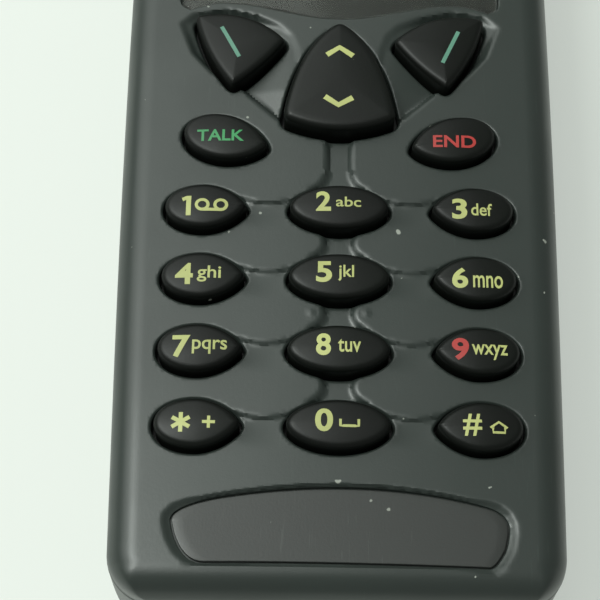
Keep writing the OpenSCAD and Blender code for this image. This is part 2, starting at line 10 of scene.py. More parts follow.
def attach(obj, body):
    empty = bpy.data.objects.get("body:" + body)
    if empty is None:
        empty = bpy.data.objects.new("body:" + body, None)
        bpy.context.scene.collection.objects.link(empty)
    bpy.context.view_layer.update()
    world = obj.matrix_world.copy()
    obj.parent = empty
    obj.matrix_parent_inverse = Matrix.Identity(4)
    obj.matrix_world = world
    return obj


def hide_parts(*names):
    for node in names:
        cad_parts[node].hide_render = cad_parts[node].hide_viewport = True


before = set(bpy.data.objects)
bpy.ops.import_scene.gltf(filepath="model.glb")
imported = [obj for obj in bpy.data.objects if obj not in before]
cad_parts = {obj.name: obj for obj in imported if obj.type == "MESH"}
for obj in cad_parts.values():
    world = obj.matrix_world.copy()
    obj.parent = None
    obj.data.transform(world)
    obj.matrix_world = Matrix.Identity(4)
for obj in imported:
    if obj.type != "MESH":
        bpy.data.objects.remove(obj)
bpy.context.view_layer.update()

# Shapes are in millimetres until a piece is finished. A point is (x, u, z): u runs along
# the phone towards the antenna, and z goes up from the back of the battery.
MM = 0.001
ZERO_Y = -76.45
FOOT_U = 2.2
TOP_U = 131.0
SEAM_Z = 17.5
FOOT_SEAM_Z = 23.8
FACE_Z = 28.0
FRONT_RISE = FACE_Z - SEAM_Z
HALF_FOOT = 22.15
HALF_GAIN = 1.35
WIDEST_U = 74
TOP_TAPER = 0.7
FOOT_CORNER = 4.8
TOP_CORNER = 13
EDGE_RADIUS = 3.2
FACE_CROWN = 0.35
DRAFT = 0.3
REAR_POWER = 4.4
REAR_BULGE = 0.4
REAR_FOOT_LENGTH = 9
REAR_TOP_LENGTH = 16
SWEEP_END_U = 15
SWEEP_LENGTH = 8
WALL = 1.7
SEAM_EDGE = 0.25
COLUMN = 13.8
ROW = 7.85
ROW_1 = 42.4
ROWS = [ROW_1 - k * ROW for k in range(4)]
KEY_PROUD = 1.4
KEY_GAP = 0.3
ANTENNA_X = -14.6
ANTENNA_Z = 13.2
BATTERY_TOP = 96.0
BATTERY_Z = 8.8
BATTERY_GAP = 0.3
SCREWS = [(-17.8, 10.5), (17.8, 10.5), (-19.5, 73), (19.5, 73), (18.4, 112)]
EARPIECE_U = 115.5


def clamp(value):
    return max(0.0, min(1.0, value))


def smooth(value):
    value = clamp(value)
    return value * value * (3 - 2 * value)


# The body's shape


def corner_inset(distance, radius):
    if distance >= radius:
        return 0.0
    return radius - math.sqrt(max(0.0, radius ** 2 - (radius - distance) ** 2))


def half_width(u):
    """Half width of the body at the seam."""
    if u < WIDEST_U:
        full = HALF_FOOT + HALF_GAIN * math.sin(math.radians(90 * u / WIDEST_U))
    else:
        full = HALF_FOOT + HALF_GAIN - TOP_TAPER * ((u - WIDEST_U) / (TOP_U - WIDEST_U)) ** 2
    return full - corner_inset(u - FOOT_U, FOOT_CORNER) - corner_inset(TOP_U - u, TOP_CORNER)


def ease(distance, length, depth):
    """Drop of a surface that rounds off over a length at an end of the body."""
    if distance >= length:
        return 0.0
    return depth * (1 - math.sqrt(max(0.0, 1 - ((length - distance) / length) ** 2)))


def front_rise(u):
    """Height of the face over the seam's plane."""
    at_foot = ease(u - FOOT_U, EDGE_RADIUS, EDGE_RADIUS)
    return FRONT_RISE - at_foot - ease(TOP_U - u, length=10, depth=4.8)


def rear_drop(u):
    """Depth of the back under the seam's plane."""
    at_foot = ease(u - FOOT_U, REAR_FOOT_LENGTH, depth=8.4)
    return SEAM_Z + REAR_BULGE - at_foot - ease(TOP_U - u, REAR_TOP_LENGTH, depth=8.5)


def seam_height(u):
    """Height of the seam, which sweeps up at the foot."""
    return SEAM_Z + (FOOT_SEAM_Z - SEAM_Z) * smooth((SWEEP_END_U - u) / SWEEP_LENGTH)


def edge_across(u):
    """Width of the rounded edge beside the face."""
    return max(0.1, min(EDGE_RADIUS, u - FOOT_U))


def edge_down(u):
    """Height of the rounded edge beside the face."""
    left = EDGE_RADIUS - ease(u - FOOT_U, EDGE_RADIUS, EDGE_RADIUS)
    return max(0.1, min(left, 0.6 * front_rise(u)))


def crown(x, u):
    """Height of the plain front skin."""
    flat_half = half_width(u) - DRAFT - edge_across(u)
    return SEAM_Z + front_rise(u) - FACE_CROWN * min(1.0, abs(x) / max(flat_half, 0.1)) ** 2


# Outlines of the keys and plates, counter-clockwise


def power_wave(value, exponent):
    return math.copysign(abs(value) ** (2 / exponent), value)


def lobe(length, p, q, width, angle):
    return (length * power_wave(math.cos(angle), p), width * power_wave(math.sin(angle), q))


KEY_POINTS = 96


def drop_outline(x, u, round_length, tip_length, width, turn=0.0):
    points = []
    for i in range(KEY_POINTS):
        angle = 2 * math.pi * i / KEY_POINTS
        if math.cos(angle) > 0:
            px, pu = lobe(tip_length, 1.8, 1.5, width, angle)
        else:
            px, pu = lobe(round_length, 2.1, 2, width, angle)
        c, s = math.cos(math.radians(turn)), math.sin(math.radians(turn))
        points.append((x + px * c - pu * s, u + px * s + pu * c))
    return points


def lemon_outline(x, u):
    points = [lobe(5.35, 1.95, 1.9, 2.8, 2 * math.pi * i / KEY_POINTS) for i in range(KEY_POINTS)]
    return [(x + px, u + pu) for px, pu in points]


def bend(a, m, b, t):
    return tuple(a[k] * (1 - t) ** 2 + m[k] * 2 * t * (1 - t) + b[k] * t * t for k in (0, 1))


def curved_outline(corners, controls, cuts, along, around):
    """A closed outline with curved edges and rounded corners.

    Each pair of cuts is the share of an edge that its first and its last corner take.
    """
    points = []
    count = len(corners)
    for k in range(count):
        a, b, c = corners[k], corners[(k + 1) % count], corners[(k + 2) % count]
        first, last = cuts[k][0], 1 - cuts[k][1]
        for i in range(along):
            points.append(bend(a, controls[k], b, first + (last - first) * i / along))
        end = bend(a, controls[k], b, last)
        start = bend(b, controls[(k + 1) % count], c, cuts[(k + 1) % count][0])
        for i in range(around):
            points.append(bend(end, b, start, i / around))
    return points


def mirrored(points):
    return [(-x, u) for x, u in reversed(points)]


def middle(points):
    return (sum(p[0] for p in points) / len(points), sum(p[1] for p in points) / len(points))


def grown(points, amount):
    """The outline moved outward along its own normals."""
    count = len(points)
    result = []
    for i, (x, u) in enumerate(points):
        ax, au = points[i - 1]
        bx, bu = points[(i + 1) % count]
        along = Vector((bx - ax, bu - au))
        if along.length < 1e-6:
            along = Vector((1, 0))
        along.normalize()
        result.append((x + along.y * amount, u - along.x * amount))
    return result


def wave(x):
    rise = 66.1 + 2 * math.sin(math.radians(90 * min(abs(x), 13) / 13)) ** 2
    if abs(x) > 13:
        rise -= 0.9 * ((abs(x) - 13) / 3.4) ** 1.5
    return rise


def arc(cx, cu, rx, ru, first, last, steps):
    angles = [math.radians(first + (last - first) * i / steps) for i in range(steps + 1)]
    return [(cx + rx * math.cos(a), cu + ru * math.sin(a)) for a in angles]


WINDOW_OUTLINE = (
    [(-16.4 + 32.8 * i / 60, wave(-16.4 + 32.8 * i / 60)) for i in range(61)]
    + arc(16.7, 68.4, 0.8, 0.9, -60, 0, 6)
    + arc(13.9, 101.8, 3.8, 3.4, 0, 90, 16)
    + [(9 - 18 * i / 12, 106.4 - 1.2 * ((9 - 18 * i / 12) / 13.9) ** 2) for i in range(13)]
    + arc(-13.9, 101.8, 3.8, 3.4, 90, 180, 16)
    + arc(-16.7, 68.4, 0.8, 0.9, 180, 240, 6)
)
LABEL_OUTLINE = curved_outline(
    [(-16.1, 10.85), (-14.55, 5.35), (14.95, 5.2), (16.55, 10.55)],
    [(-15.9, 8.3), (-2.35, 5.65), (16.1, 6.25), (1.9, 15.2)],
    [(0.27, 0.49), (0.08, 0.02), (0.49, 0.25), (0.08, 0.13)], 26, 12)
SOFT_OUTLINE = curved_outline(
    [(-16.1, 65.9), (-11.5, 56.4), (-5.4, 62.6)],
    [(-15, 60.5), (-8, 58.8), (-9.6, 67.4)], [(0.09, 0.09)] * 3, 26, 9)
SCROLL_OUTLINE = curved_outline(
    [(0, 65.2), (-6.5, 52.5), (6.5, 52.5)],
    [(-5, 62.6), (0, 49.2), (5, 62.6)], [(0.08, 0.08)] * 3, 28, 9)
TALK_OUTLINE = drop_outline(-12.2, ROW_1 + 8.2, 4.5, 5, 2.95, -13)

KEY_OUTLINES = {}
for row_names, row_u in zip((("1", "2", "3"), ("4", "5", "6"), ("7", "8", "9"), ("star", "0", "hash")), ROWS):
    left_key = drop_outline(-COLUMN - 0.1, row_u, 4.3, 4.6, 2.8)
    KEY_OUTLINES["key_" + row_names[0]] = left_key
    KEY_OUTLINES["key_" + row_names[1]] = lemon_outline(0, row_u)
    KEY_OUTLINES["key_" + row_names[2]] = mirrored(left_key)
KEY_OUTLINES["key_talk"] = TALK_OUTLINE
KEY_OUTLINES["key_end"] = mirrored(TALK_OUTLINE)
KEY_OUTLINES["soft_key_left"] = SOFT_OUTLINE
KEY_OUTLINES["soft_key_right"] = mirrored(SOFT_OUTLINE)
KEY_OUTLINES["scroll_key"] = SCROLL_OUTLINE


# Relief of the front face


def distance_inside(point, polygon):
    """Distance from the polygon's edge, positive inside it."""
    x, u = point
    nearest = 1e9
    inside = False
    for i in range(len(polygon)):
        ax, au = polygon[i - 1]
        bx, bu = polygon[i]
        dx, du = bx - ax, bu - au
        t = clamp(((x - ax) * dx + (u - au) * du) / (dx * dx + du * du))
        nearest = min(nearest, math.hypot(x - ax - t * dx, u - au - t * du))
        if (au > u) != (bu > u) and x < ax + (u - au) * dx / du:
            inside = not inside
    return nearest if inside else -nearest


# The hollow beside a soft key, seen on the left
DISH = [(-17.6, 65.5), (-15.9, 66.9), (-12.3, 67.4), (-9.0, 66.6), (-6.5, 65.5), (-5.1, 64.2), (-4.4, 62.4),
        (-3.6, 58.0), (-4.6, 53.5), (-6.2, 52.9), (-8.5, 55.0), (-10.9, 57.2), (-13.4, 58.6), (-16.0, 61.5)]


def dish_depth(x, u):
    if not 52 < u < 68.2:
        return 0.0
    inside = distance_inside((-abs(x), u), DISH)
    if inside <= 0:
        return 0.0
    floor = 0.16 + 0.75 * smooth((abs(x) - 4.6) / 6.5) * smooth((18.2 - abs(x)) / 5)
    from_crease = (8.5 - abs(x)) * 0.68 + (u - 55) * 0.73
    facet = 0.95 * clamp(1 - from_crease / 4.4) * (1 - smooth((abs(x) - 10) / 2))
    return max(floor, facet) * smooth(inside / 0.6)


SCALLOP_NEAR = 4.4
SCALLOP_FAR = 10.6
SCALLOP_DEPTH = 0.34


def step_depth(x, u):
    """Scallop between two keys of a row."""
    if not SCALLOP_NEAR < abs(x) < SCALLOP_FAR:
        return 0.0
    for row_u in ROWS:
        v = u - row_u
        if -3.5 < v < 2.2:
            line = 0.92 + 0.075 * (abs(x) - 7.3) ** 2
            sides = smooth((abs(x) - SCALLOP_NEAR) / 0.9) * smooth((SCALLOP_FAR - abs(x)) / 0.9)
            under = line - v
            fall = smooth(under / SCALLOP_DEPTH + 0.5) * (1 - smooth((under - 0.2) / 3.0))
            return SCALLOP_DEPTH * fall * sides
    return 0.0


KEY_HALF = 2.6


def channel_depth(x, u):
    """Trough down the middle of the keypad, between one key and the next."""
    if u < 16 or u > 54 or abs(x) > 4:
        return 0.0
    depth = 0.0
    for k, row_u in enumerate(ROWS):
        top = 51.4 if k == 0 else ROWS[k - 1] - KEY_HALF
        v = u - row_u - KEY_HALF
        length = top - row_u - KEY_HALF
        if -0.8 < v < length + 0.8:
            lower = math.exp(-max(0.0, v) / 0.75)
            upper = math.exp(-max(0.0, length - v) / 0.6)
            half = 1.22 + 1.75 * lower + 0.7 * upper
            share = abs(x) / half
            if share < 1.12:
                depth = max(depth, 0.5 * smooth((1.12 - share) / 0.42))
    return depth


def label_slope(x, u):
    """Sloped border round the seat of the label plate."""
    if not 3 < u < 15 or abs(x) > 19:
        return 0.0
    outside = -distance_inside((x, u), LABEL_OUTLINE[::3])
    if outside > 1.0:
        return 0.0
    reach = 0.34 + 0.5 * smooth((abs(x) - 12) / 4)
    return 0.42 * (1 - smooth(outside / reach))


def pip_height(x, u):
    height = 0.0
    for pip_x in (-2.78, 2.78):
        away = math.hypot(x - pip_x, u - (ROWS[1] - 3.6))
        height += 0.16 * (1 - smooth(away / 0.42))
    return height


def relief(x, u):
    if abs(x) > 19.4 or not 3 < u < 68.5:
        return 0.0
    depth = max(dish_depth(x, u), step_depth(x, u), channel_depth(x, u), label_slope(x, u))
    return depth - pip_height(x, u)


def skin(x, u):
    return crown(x, u) - relief(x, u)


# Mesh work


def rows_of_points(rows):
    """A grid bent onto rows of points."""
    bm = bmesh.new()
    across = len(rows[0])
    bmesh.ops.create_grid(bm, x_segments=across - 1, y_segments=len(rows) - 1, size=1)
    verts = list(bm.verts)
    for k, row in enumerate(rows):
        for i, point in enumerate(row):
            verts[k * across + i].co = point
    return bm


def closed_up(bm):
    bmesh.ops.remove_doubles(bm, verts=bm.verts, dist=1e-5)
    open_edges = [e for e in bm.edges if e.is_boundary]
    if open_edges:
        bmesh.ops.holes_fill(bm, edges=open_edges, sides=0)
    bmesh.ops.recalc_face_normals(bm, faces=bm.faces)
    return bm


def stacked(rings):
    """A closed skin through rings of points, with both ends closed."""
    return closed_up(rows_of_points([list(ring) + [ring[0]] for ring in rings]))


def block(x0, x1, u0, u1, z0, z1, edge=0.0, steps=3):
    bm = bmesh.new()
    bmesh.ops.create_cube(bm, size=1)
    size = Vector((x1 - x0, u1 - u0, z1 - z0))
    bmesh.ops.scale(bm, vec=size, verts=bm.verts)
    bmesh.ops.translate(bm, vec=Vector(((x0 + x1) / 2, (u0 + u1) / 2, (z0 + z1) / 2)), verts=bm.verts)
    if edge > 0:
        bmesh.ops.bevel(bm, geom=list(bm.edges), offset=edge, segments=steps, profile=0.5,
                        affect="EDGES", material=-1)
    return bm


def rod(x, z, radius, u0, u1, sides):
    """A round bar along the length of the body."""
    bm = bmesh.new()
    lying = Matrix.Translation((x, (u0 + u1) / 2, z)) @ Matrix.Rotation(math.pi / 2, 4, "X")
    bmesh.ops.create_cone(bm, cap_ends=True, segments=sides, radius1=radius, radius2=radius, depth=u1 - u0,
                          matrix=lying)
    return bm


def post(x, u, radius, z0, z1, sides):
    bm = bmesh.new()
    bmesh.ops.create_cone(bm, cap_ends=True, segments=sides, radius1=radius, radius2=radius, depth=z1 - z0,
                          matrix=Matrix.Translation((x, u, (z0 + z1) / 2)))
    return bm


def new_object(name, data):
    obj = bpy.data.objects.new(name, data)
    bpy.context.scene.collection.objects.link(obj)
    return obj


def mesh_object(bm, name):
    mesh = bpy.data.meshes.new(name)
    bm.to_mesh(mesh)
    bm.free()
    return new_object(name, mesh)


def carve(bm, tools, operation="DIFFERENCE"):
    """Cuts the tools out of the solid, or joins them to it, one after another."""
    body = mesh_object(bm, "work")
    helpers = []
    for tool in tools:
        helper = mesh_object(tool, "tool")
        helpers.append(helper)
        cut = body.modifiers.new("cut", "BOOLEAN")
        cut.operation = operation
        cut.solver = "MANIFOLD"
        cut.object = helper
    bpy.context.view_layer.update()
    shaped = bpy.data.meshes.new_from_object(body.evaluated_get(bpy.context.evaluated_depsgraph_get()))
    result = bmesh.new()
    result.from_mesh(shaped)
    for obj in [body, *helpers]:
        mesh = obj.data
        bpy.data.objects.remove(obj)
        bpy.data.meshes.remove(mesh)
    bpy.data.meshes.remove(shaped)
    return result


PLACE = Matrix.Translation((0, ZERO_Y * MM, 0)) @ Matrix.Scale(MM, 4)


def piece(bm, name, body, material, stands_for=(), sharp=32):
    """Finishes a solid as a piece of the phone, in metres and in its place."""
    bmesh.ops.transform(bm, matrix=PLACE, verts=bm.verts)
    obj = mesh_object(bm, name)
    mesh = obj.data
    mesh.polygons.foreach_set("use_smooth", [True] * len(mesh.polygons))
    mesh.set_sharp_from_angle(angle=math.radians(sharp))
    mesh.materials.append(material)
    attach(obj, body)
    if stands_for:
        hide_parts(*stands_for)
    return obj


# Materials


def new_group(name, inputs, outputs):
    group = bpy.data.node_groups.new(name, "ShaderNodeTree")
    for label, kind, value in inputs:
        socket = group.interface.new_socket(label, in_out="INPUT", socket_type=kind)
        if value is not None:
            socket.default_value = value
    for label, kind in outputs:
        group.interface.new_socket(label, in_out="OUTPUT", socket_type=kind)
    return group, group.nodes.new("NodeGroupInput"), group.nodes.new("NodeGroupOutput")


def add(tree, kind, **settings):
    node = tree.nodes.new(kind)
    for label, value in settings.items():
        setattr(node, label, value)
    return node


def feed(tree, socket, value):
    """Sets a plain value, or links one from another node."""
    if isinstance(value, (int, float, tuple)):
        socket.default_value = value
    else:
        tree.links.new(value, socket)


def math_node(tree, operation, first, second, clamped=False):
    node = add(tree, "ShaderNodeMath", operation=operation, use_clamp=clamped)
    feed(tree, node.inputs[0], first)
    feed(tree, node.inputs[1], second)
    return node.outputs[0]


def noise_node(tree, vector, scale, detail, rough=0.5):
    node = add(tree, "ShaderNodeTexNoise")
    node.inputs["Detail"].default_value = detail
    node.inputs["Roughness"].default_value = rough
    feed(tree, node.inputs["Scale"], scale)
    tree.links.new(vector, node.inputs["Vector"])
    return node.outputs["Fac"]


def ramp_node(tree, value, low, high):
    node = add(tree, "ShaderNodeMapRange", interpolation_type="SMOOTHSTEP")
    tree.links.new(value, node.inputs["Value"])
    node.inputs["From Min"].default_value = low
    node.inputs["From Max"].default_value = high
    return node.outputs["Result"]


def mapped(tree, vector, turn, scale, place):
    node = add(tree, "ShaderNodeMapping")
    node.inputs["Rotation"].default_value = [math.radians(a) for a in turn]
    node.inputs["Scale"].default_value = scale
    node.inputs["Location"].default_value = place
    tree.links.new(vector, node.inputs["Vector"])
    return node.outputs["Vector"]


def make_grain():
    """Fine moulded texture: a height and a slow cloud."""
    group, ins, outs = new_group(
        "moulded_grain",
        [("Vector", "NodeSocketVector", None), ("Size", "NodeSocketFloat", 3600.0)],
        [("Height", "NodeSocketFloat"), ("Cloud", "NodeSocketFloat")])
    fine = noise_node(group, ins.outputs["Vector"], ins.outputs["Size"], 2.0, 0.6)
    slow = noise_node(group, ins.outputs["Vector"], 95.0, 3.0, 0.55)
    group.links.new(fine, outs.inputs["Height"])
    group.links.new(slow, outs.inputs["Cloud"])
    return group


def make_scratches():
    """Hair scratches in three directions, broken up by a patchy mask."""
    group, ins, outs = new_group(
        "hair_scratches",
        [("Vector", "NodeSocketVector", None), ("Amount", "NodeSocketFloat", 0.5)],
        [("Mask", "NodeSocketFloat")])
    vector = ins.outputs["Vector"]
    total = None
    for k, (turn, long_way, fine_way) in enumerate(((24, 230, 4200), (-33, 260, 4700), (78, 210, 4400))):
        turned = mapped(group, vector, turn=(0, 0, turn), scale=(fine_way, long_way, long_way),
                        place=(k * 3, k, 0))
        lines = noise_node(group, turned, 1.0, 1.0, 0.4)
        thin = ramp_node(group, lines, 0.69, 0.77)
        total = thin if total is None else math_node(group, "MAXIMUM", total, thin)
    patches = ramp_node(group, noise_node(group, vector, 170.0, 2.0), 0.42, 0.68)
    held = math_node(group, "MULTIPLY", total, patches)
    group.links.new(math_node(group, "MULTIPLY", held, ins.outputs["Amount"], True), outs.inputs["Mask"])
    return group


def make_dust():
    """Scattered specks of dust."""
    group, ins, outs = new_group(
        "dust_specks",
        [("Vector", "NodeSocketVector", None), ("Amount", "NodeSocketFloat", 0.5)],
        [("Mask", "NodeSocketFloat")])
    total = None
    for scale, size in ((330.0, 0.022), (620.0, 0.03)):
        cells = add(group, "ShaderNodeTexVoronoi", feature="F1")
        cells.inputs["Scale"].default_value = scale
        warp = noise_node(group, ins.outputs["Vector"], scale * 5, 1.0)
        group.links.new(ins.outputs["Vector"], cells.inputs["Vector"])
        apart = add(group, "ShaderNodeSeparateColor")
        group.links.new(cells.outputs["Color"], apart.inputs["Color"])
        chosen = ramp_node(group, apart.outputs["Red"], 0.86, 1.0)
        limit = math_node(group, "MULTIPLY", chosen, size * 2)
        ragged = math_node(group, "MULTIPLY", cells.outputs["Distance"], warp)
        near = math_node(group, "SUBTRACT", limit, ragged)
        speck = ramp_node(group, near, 0.0, 0.012)
        total = speck if total is None else math_node(group, "MAXIMUM", total, speck)
    group.links.new(math_node(group, "MULTIPLY", total, ins.outputs["Amount"], True), outs.inputs["Mask"])
    return group


GRAIN = make_grain()
SCRATCHES = make_scratches()
DUST = make_dust()


def linear(value):
    value /= 255
    return value / 12.92 if value <= 0.04045 else ((value + 0.055) / 1.055) ** 2.4


def paint(red, green, blue):
    """A colour given in screen values, as the shader wants it."""
    return (linear(red), linear(green), linear(blue), 1.0)


def group_node(tree, group, vector, **values):
    node = add(tree, "ShaderNodeGroup", node_tree=group)
    tree.links.new(vector, node.inputs["Vector"])
    for label, value in values.items():
        node.inputs[label].default_value = value
    return node


def blend_node(tree, share, first, second):
    node = add(tree, "ShaderNodeMix", data_type="RGBA")
    tree.links.new(share, node.inputs["Factor"])
    colours = [s for s in node.inputs if s.type == "RGBA"]
    for socket, value in zip(colours, (first, second)):
        feed(tree, socket, value)
    return [s for s in node.outputs if s.type == "RGBA"][0]


GRAIN_DEPTH = 0.00002
ROUGH_SPREAD = 0.08


def finish(name, colour, second, rough, grain=0.0, grain_size=3600.0, scratches=0.0, dust=0.0,
           metallic=0.0, specular=0.5):
    """A finish with moulded grain, a cloudy tone of two colours, hair scratches and dust."""
    material = bpy.data.materials.new(name)
    material.use_nodes = True
    tree = material.node_tree
    shader = tree.nodes["Principled BSDF"]
    place = add(tree, "ShaderNodeTexCoord").outputs["Object"]
    surface = group_node(tree, GRAIN, place, Size=grain_size)
    cloud = ramp_node(tree, surface.outputs["Cloud"], 0.3, 0.7)
    tone = blend_node(tree, cloud, colour, second)
    rough_value = math_node(tree, "ADD", rough - ROUGH_SPREAD / 2,
                            math_node(tree, "MULTIPLY", cloud, ROUGH_SPREAD))
    if scratches > 0:
        marks = group_node(tree, SCRATCHES, place, Amount=scratches).outputs["Mask"]
        paler = tuple(min(1, c * 2.2) for c in colour[:3]) + (1.0,)
        tone = blend_node(tree, marks, tone, paler)
        rough_value = math_node(tree, "SUBTRACT", rough_value, math_node(tree, "MULTIPLY", marks, 0.12))
    if dust > 0:
        specks = group_node(tree, DUST, place, Amount=dust).outputs["Mask"]
        tone = blend_node(tree, specks, tone, paint(176, 180, 170))
        rough_value = math_node(tree, "ADD", rough_value, math_node(tree, "MULTIPLY", specks, 0.3), True)
    tree.links.new(tone, shader.inputs["Base Color"])
    tree.links.new(rough_value, shader.inputs["Roughness"])
    shader.inputs["Metallic"].default_value = metallic
    shader.inputs["Specular IOR Level"].default_value = specular
    if grain > 0:
        bump = add(tree, "ShaderNodeBump")
        bump.inputs["Strength"].default_value = grain
        bump.inputs["Distance"].default_value = GRAIN_DEPTH
        tree.links.new(surface.outputs["Height"], bump.inputs["Height"])
        tree.links.new(bump.outputs["Normal"], shader.inputs["Normal"])
    return material


COVER = finish("cover_plastic", paint(45, 51, 48), paint(41, 47, 44), rough=0.37, grain=0.35,
               scratches=0.2, dust=0.6)
PLATE = finish("plate_plastic", paint(42, 44, 42), paint(38, 40, 38), rough=0.4, grain=0.35,
               scratches=0.6, dust=0.5)
KEY = finish("key_plastic", paint(14, 17, 14), paint(11, 13, 11), rough=0.4, grain=0.4,
             scratches=0.3, dust=0.8, specular=0.24)
YELLOW_INK = finish("yellow_ink", paint(178, 182, 114), paint(162, 166, 102), rough=0.5, grain=0.2)
GREEN_INK = finish("green_ink", paint(54, 142, 84), paint(46, 126, 74), rough=0.5, grain=0.2)
RED_INK = finish("red_ink", paint(172, 52, 47), paint(156, 46, 42), rough=0.5, grain=0.2)
PALE_GREEN_INK = finish("pale_green_ink", paint(92, 142, 122), paint(80, 126, 108), rough=0.5, grain=0.2)
BLACK = finish("black_plastic", paint(40, 43, 42), paint(34, 37, 36), rough=0.5, grain=0.3)
RUBBER = finish("soft_rubber", paint(44, 47, 46), paint(38, 41, 40), rough=0.7, grain=0.5, grain_size=2600)
STEEL = finish("steel", paint(190, 192, 194), paint(176, 178, 180), rough=0.3, metallic=1.0, grain=0.1,
               scratches=0.3)
GOLD = finish("gold_plate", paint(214, 176, 92), paint(200, 160, 78), rough=0.28, metallic=1.0, grain=0.1)
ALLOY = finish("cast_alloy", paint(160, 164, 166), paint(148, 152, 154), rough=0.45, metallic=1.0, grain=0.4)
BOARD = finish("circuit_board", paint(38, 96, 56), paint(32, 84, 48), rough=0.4, grain=0.3, grain_size=1500)
WHITE = finish("white_plastic", paint(222, 222, 214), paint(212, 212, 204), rough=0.5, grain=0.2)
CELLS = finish("cell_sleeve", paint(70, 100, 150), paint(60, 90, 140), rough=0.35, grain=0.2)
LAMP = finish("lamp_lens", paint(214, 220, 160), paint(200, 206, 150), rough=0.25)
LCD = finish("lcd_pane", paint(128, 138, 108), paint(120, 131, 101), rough=0.2, grain=0.1)
WINDOW_PRINT = finish("window_print", paint(42, 43, 41), paint(38, 39, 37), rough=0.45)


def window_material():
    material = bpy.data.materials.new("clear_window")
    material.use_nodes = True
    tree = material.node_tree
    shader = tree.nodes["Principled BSDF"]
    place = add(tree, "ShaderNodeTexCoord").outputs["Object"]
    marks = group_node(tree, SCRATCHES, place, Amount=0.6).outputs["Mask"]
    tone = blend_node(tree, marks, paint(238, 240, 236), paint(200, 204, 198))
    tree.links.new(tone, shader.inputs["Base Color"])
    rough_value = math_node(tree, "ADD", 0.1, math_node(tree, "MULTIPLY", marks, 0.3))
    tree.links.new(rough_value, shader.inputs["Roughness"])
    shader.inputs["Transmission Weight"].default_value = 1.0
    shader.inputs["IOR"].default_value = 1.25
    return material


WINDOW = window_material()

CAD_FINISHES = (
    (BLACK, "earpiece_mesh buzzer system_connector charger_jack"),
    (RUBBER, "earpiece_gasket lcd_connector keypad_mat microphone_boot antenna_base antenna_tip"),
    (ALLOY, "earpiece_capsule chassis_frame"),
    (LCD, "lcd_glass"),
    (WHITE, "lcd_frame power_switch volume_switch"),
    (STEEL, "dome_sheet rf_shields microphone backup_cell cover_screws antenna_whip"),
    (BOARD, "ui_board main_board"),
    (LAMP, "keypad_lamps"),
    (GOLD, "threaded_inserts antenna_guide battery_contacts battery_terminals"),
    (CELLS, "battery_cells"),
)
for node_material, node_names in CAD_FINISHES:
    for node_name in node_names.split():
        node_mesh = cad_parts[node_name].data
        node_mesh.materials.clear()
        node_mesh.materials.append(node_material)


# Covers


def seam_round(height):
    if height >= SEAM_EDGE:
        return 0.0
    return SEAM_EDGE * (1 - math.sqrt(max(0.0, 1 - ((SEAM_EDGE - height) / SEAM_EDGE) ** 2)))


SEAM_STEPS = (0.0, 0.03, 0.1, SEAM_EDGE)


def front_quarter(u, inset, base, flat_steps, side_steps):
    """Right half of a front section: the wall, the rounded edge and the face."""
    half = half_width(u) - inset
    top = SEAM_Z + front_rise(u) - inset
    across = max(0.1, edge_across(u) - inset)
    down = max(0.1, edge_down(u) - inset)
    flat_half = half - DRAFT - across
    knee = max(base + 0.3, top - FACE_CROWN - down)
    foot_x = half - DRAFT * (base - SEAM_Z) / FRONT_RISE
    heights = [base + step for step in SEAM_STEPS]
    wall = knee - base - SEAM_EDGE
    heights += [base + SEAM_EDGE + wall * (i + 1) / side_steps for i in range(side_steps)]
    points = [(foot_x + (half - DRAFT - foot_x) * (z - base) / (knee - base), z) for z in heights]
    for i in range(1, 13):
        angle = math.pi / 2 * i / 12
        points.append((flat_half + across * math.cos(angle),
                       max(knee, top - FACE_CROWN - down + down * math.sin(angle))))
    for i in range(1, flat_steps + 1):
        share = 1 - i / flat_steps
        points.append((flat_half * share, max(knee, top - FACE_CROWN * share ** 2)))
    return points


def rear_quarter(u, inset, base, flat_steps, side_steps):
    """Right half of a rear section, down to the middle of the back."""
    half = half_width(u) - inset
    drop = rear_drop(u) - inset
    knee = 0.5 ** (1 / REAR_POWER)
    heights = [base - step for step in SEAM_STEPS]
    low = SEAM_Z - knee * drop
    wall = low - base + SEAM_EDGE
    heights += [base - SEAM_EDGE + wall * (i + 1) / side_steps for i in range(side_steps)]
    points = []
    for z in heights:
        share = clamp((SEAM_Z - z) / drop)
        lean = DRAFT * max(0.0, z - SEAM_Z) / FRONT_RISE
        points.append((half * (1 - share ** REAR_POWER) ** (1 / REAR_POWER) - lean, z))
    for i in range(1, flat_steps + 1):
        x = knee * (1 - i / flat_steps)
        points.append((x * half, SEAM_Z - drop * (1 - x ** REAR_POWER) ** (1 / REAR_POWER)))
    return points


def section(u, direction, flat_steps, side_steps, inset, share=1.0):
    """Points of a cross section, from the seam on the right over the middle to the seam on the left."""
    place_u = FOOT_U + inset + (u - FOOT_U) * (TOP_U - FOOT_U - 2 * inset) / (TOP_U - FOOT_U)
    base = seam_height(place_u) - (direction if inset > 0 else 0)
    quarter_of = front_quarter if direction > 0 else rear_quarter
    quarter = quarter_of(u, inset, base, flat_steps, side_steps)
    slope = (half_width(u + 0.01) - half_width(max(FOOT_U, u - 0.01))) / 0.02
    outward = Vector((1, -slope)).normalized()
    if share < 1:
        outward = Vector((0, -1 if u < 60 else 1))
    half = quarter[0][0]
    points = []
    for sign in (1, -1):
        side = []
        for k, (x, height) in enumerate(quarter):
            lifted = (height - base) * share
            if share < 1:
                spread = half * (1 - k / (len(quarter) - 1))
                x = spread + (x - spread) * share
            z = base + lifted
            back = seam_round(abs(lifted)) if inset == 0 else 0.0
            px = sign * (x - back * outward.x)
            pu = place_u - back * outward.y
            if direction > 0 and inset == 0 and share == 1:
                z -= relief(px, pu)
            side.append((px, pu, max(inset, z)))
        points += side if sign > 0 else side[-2::-1]
    return points


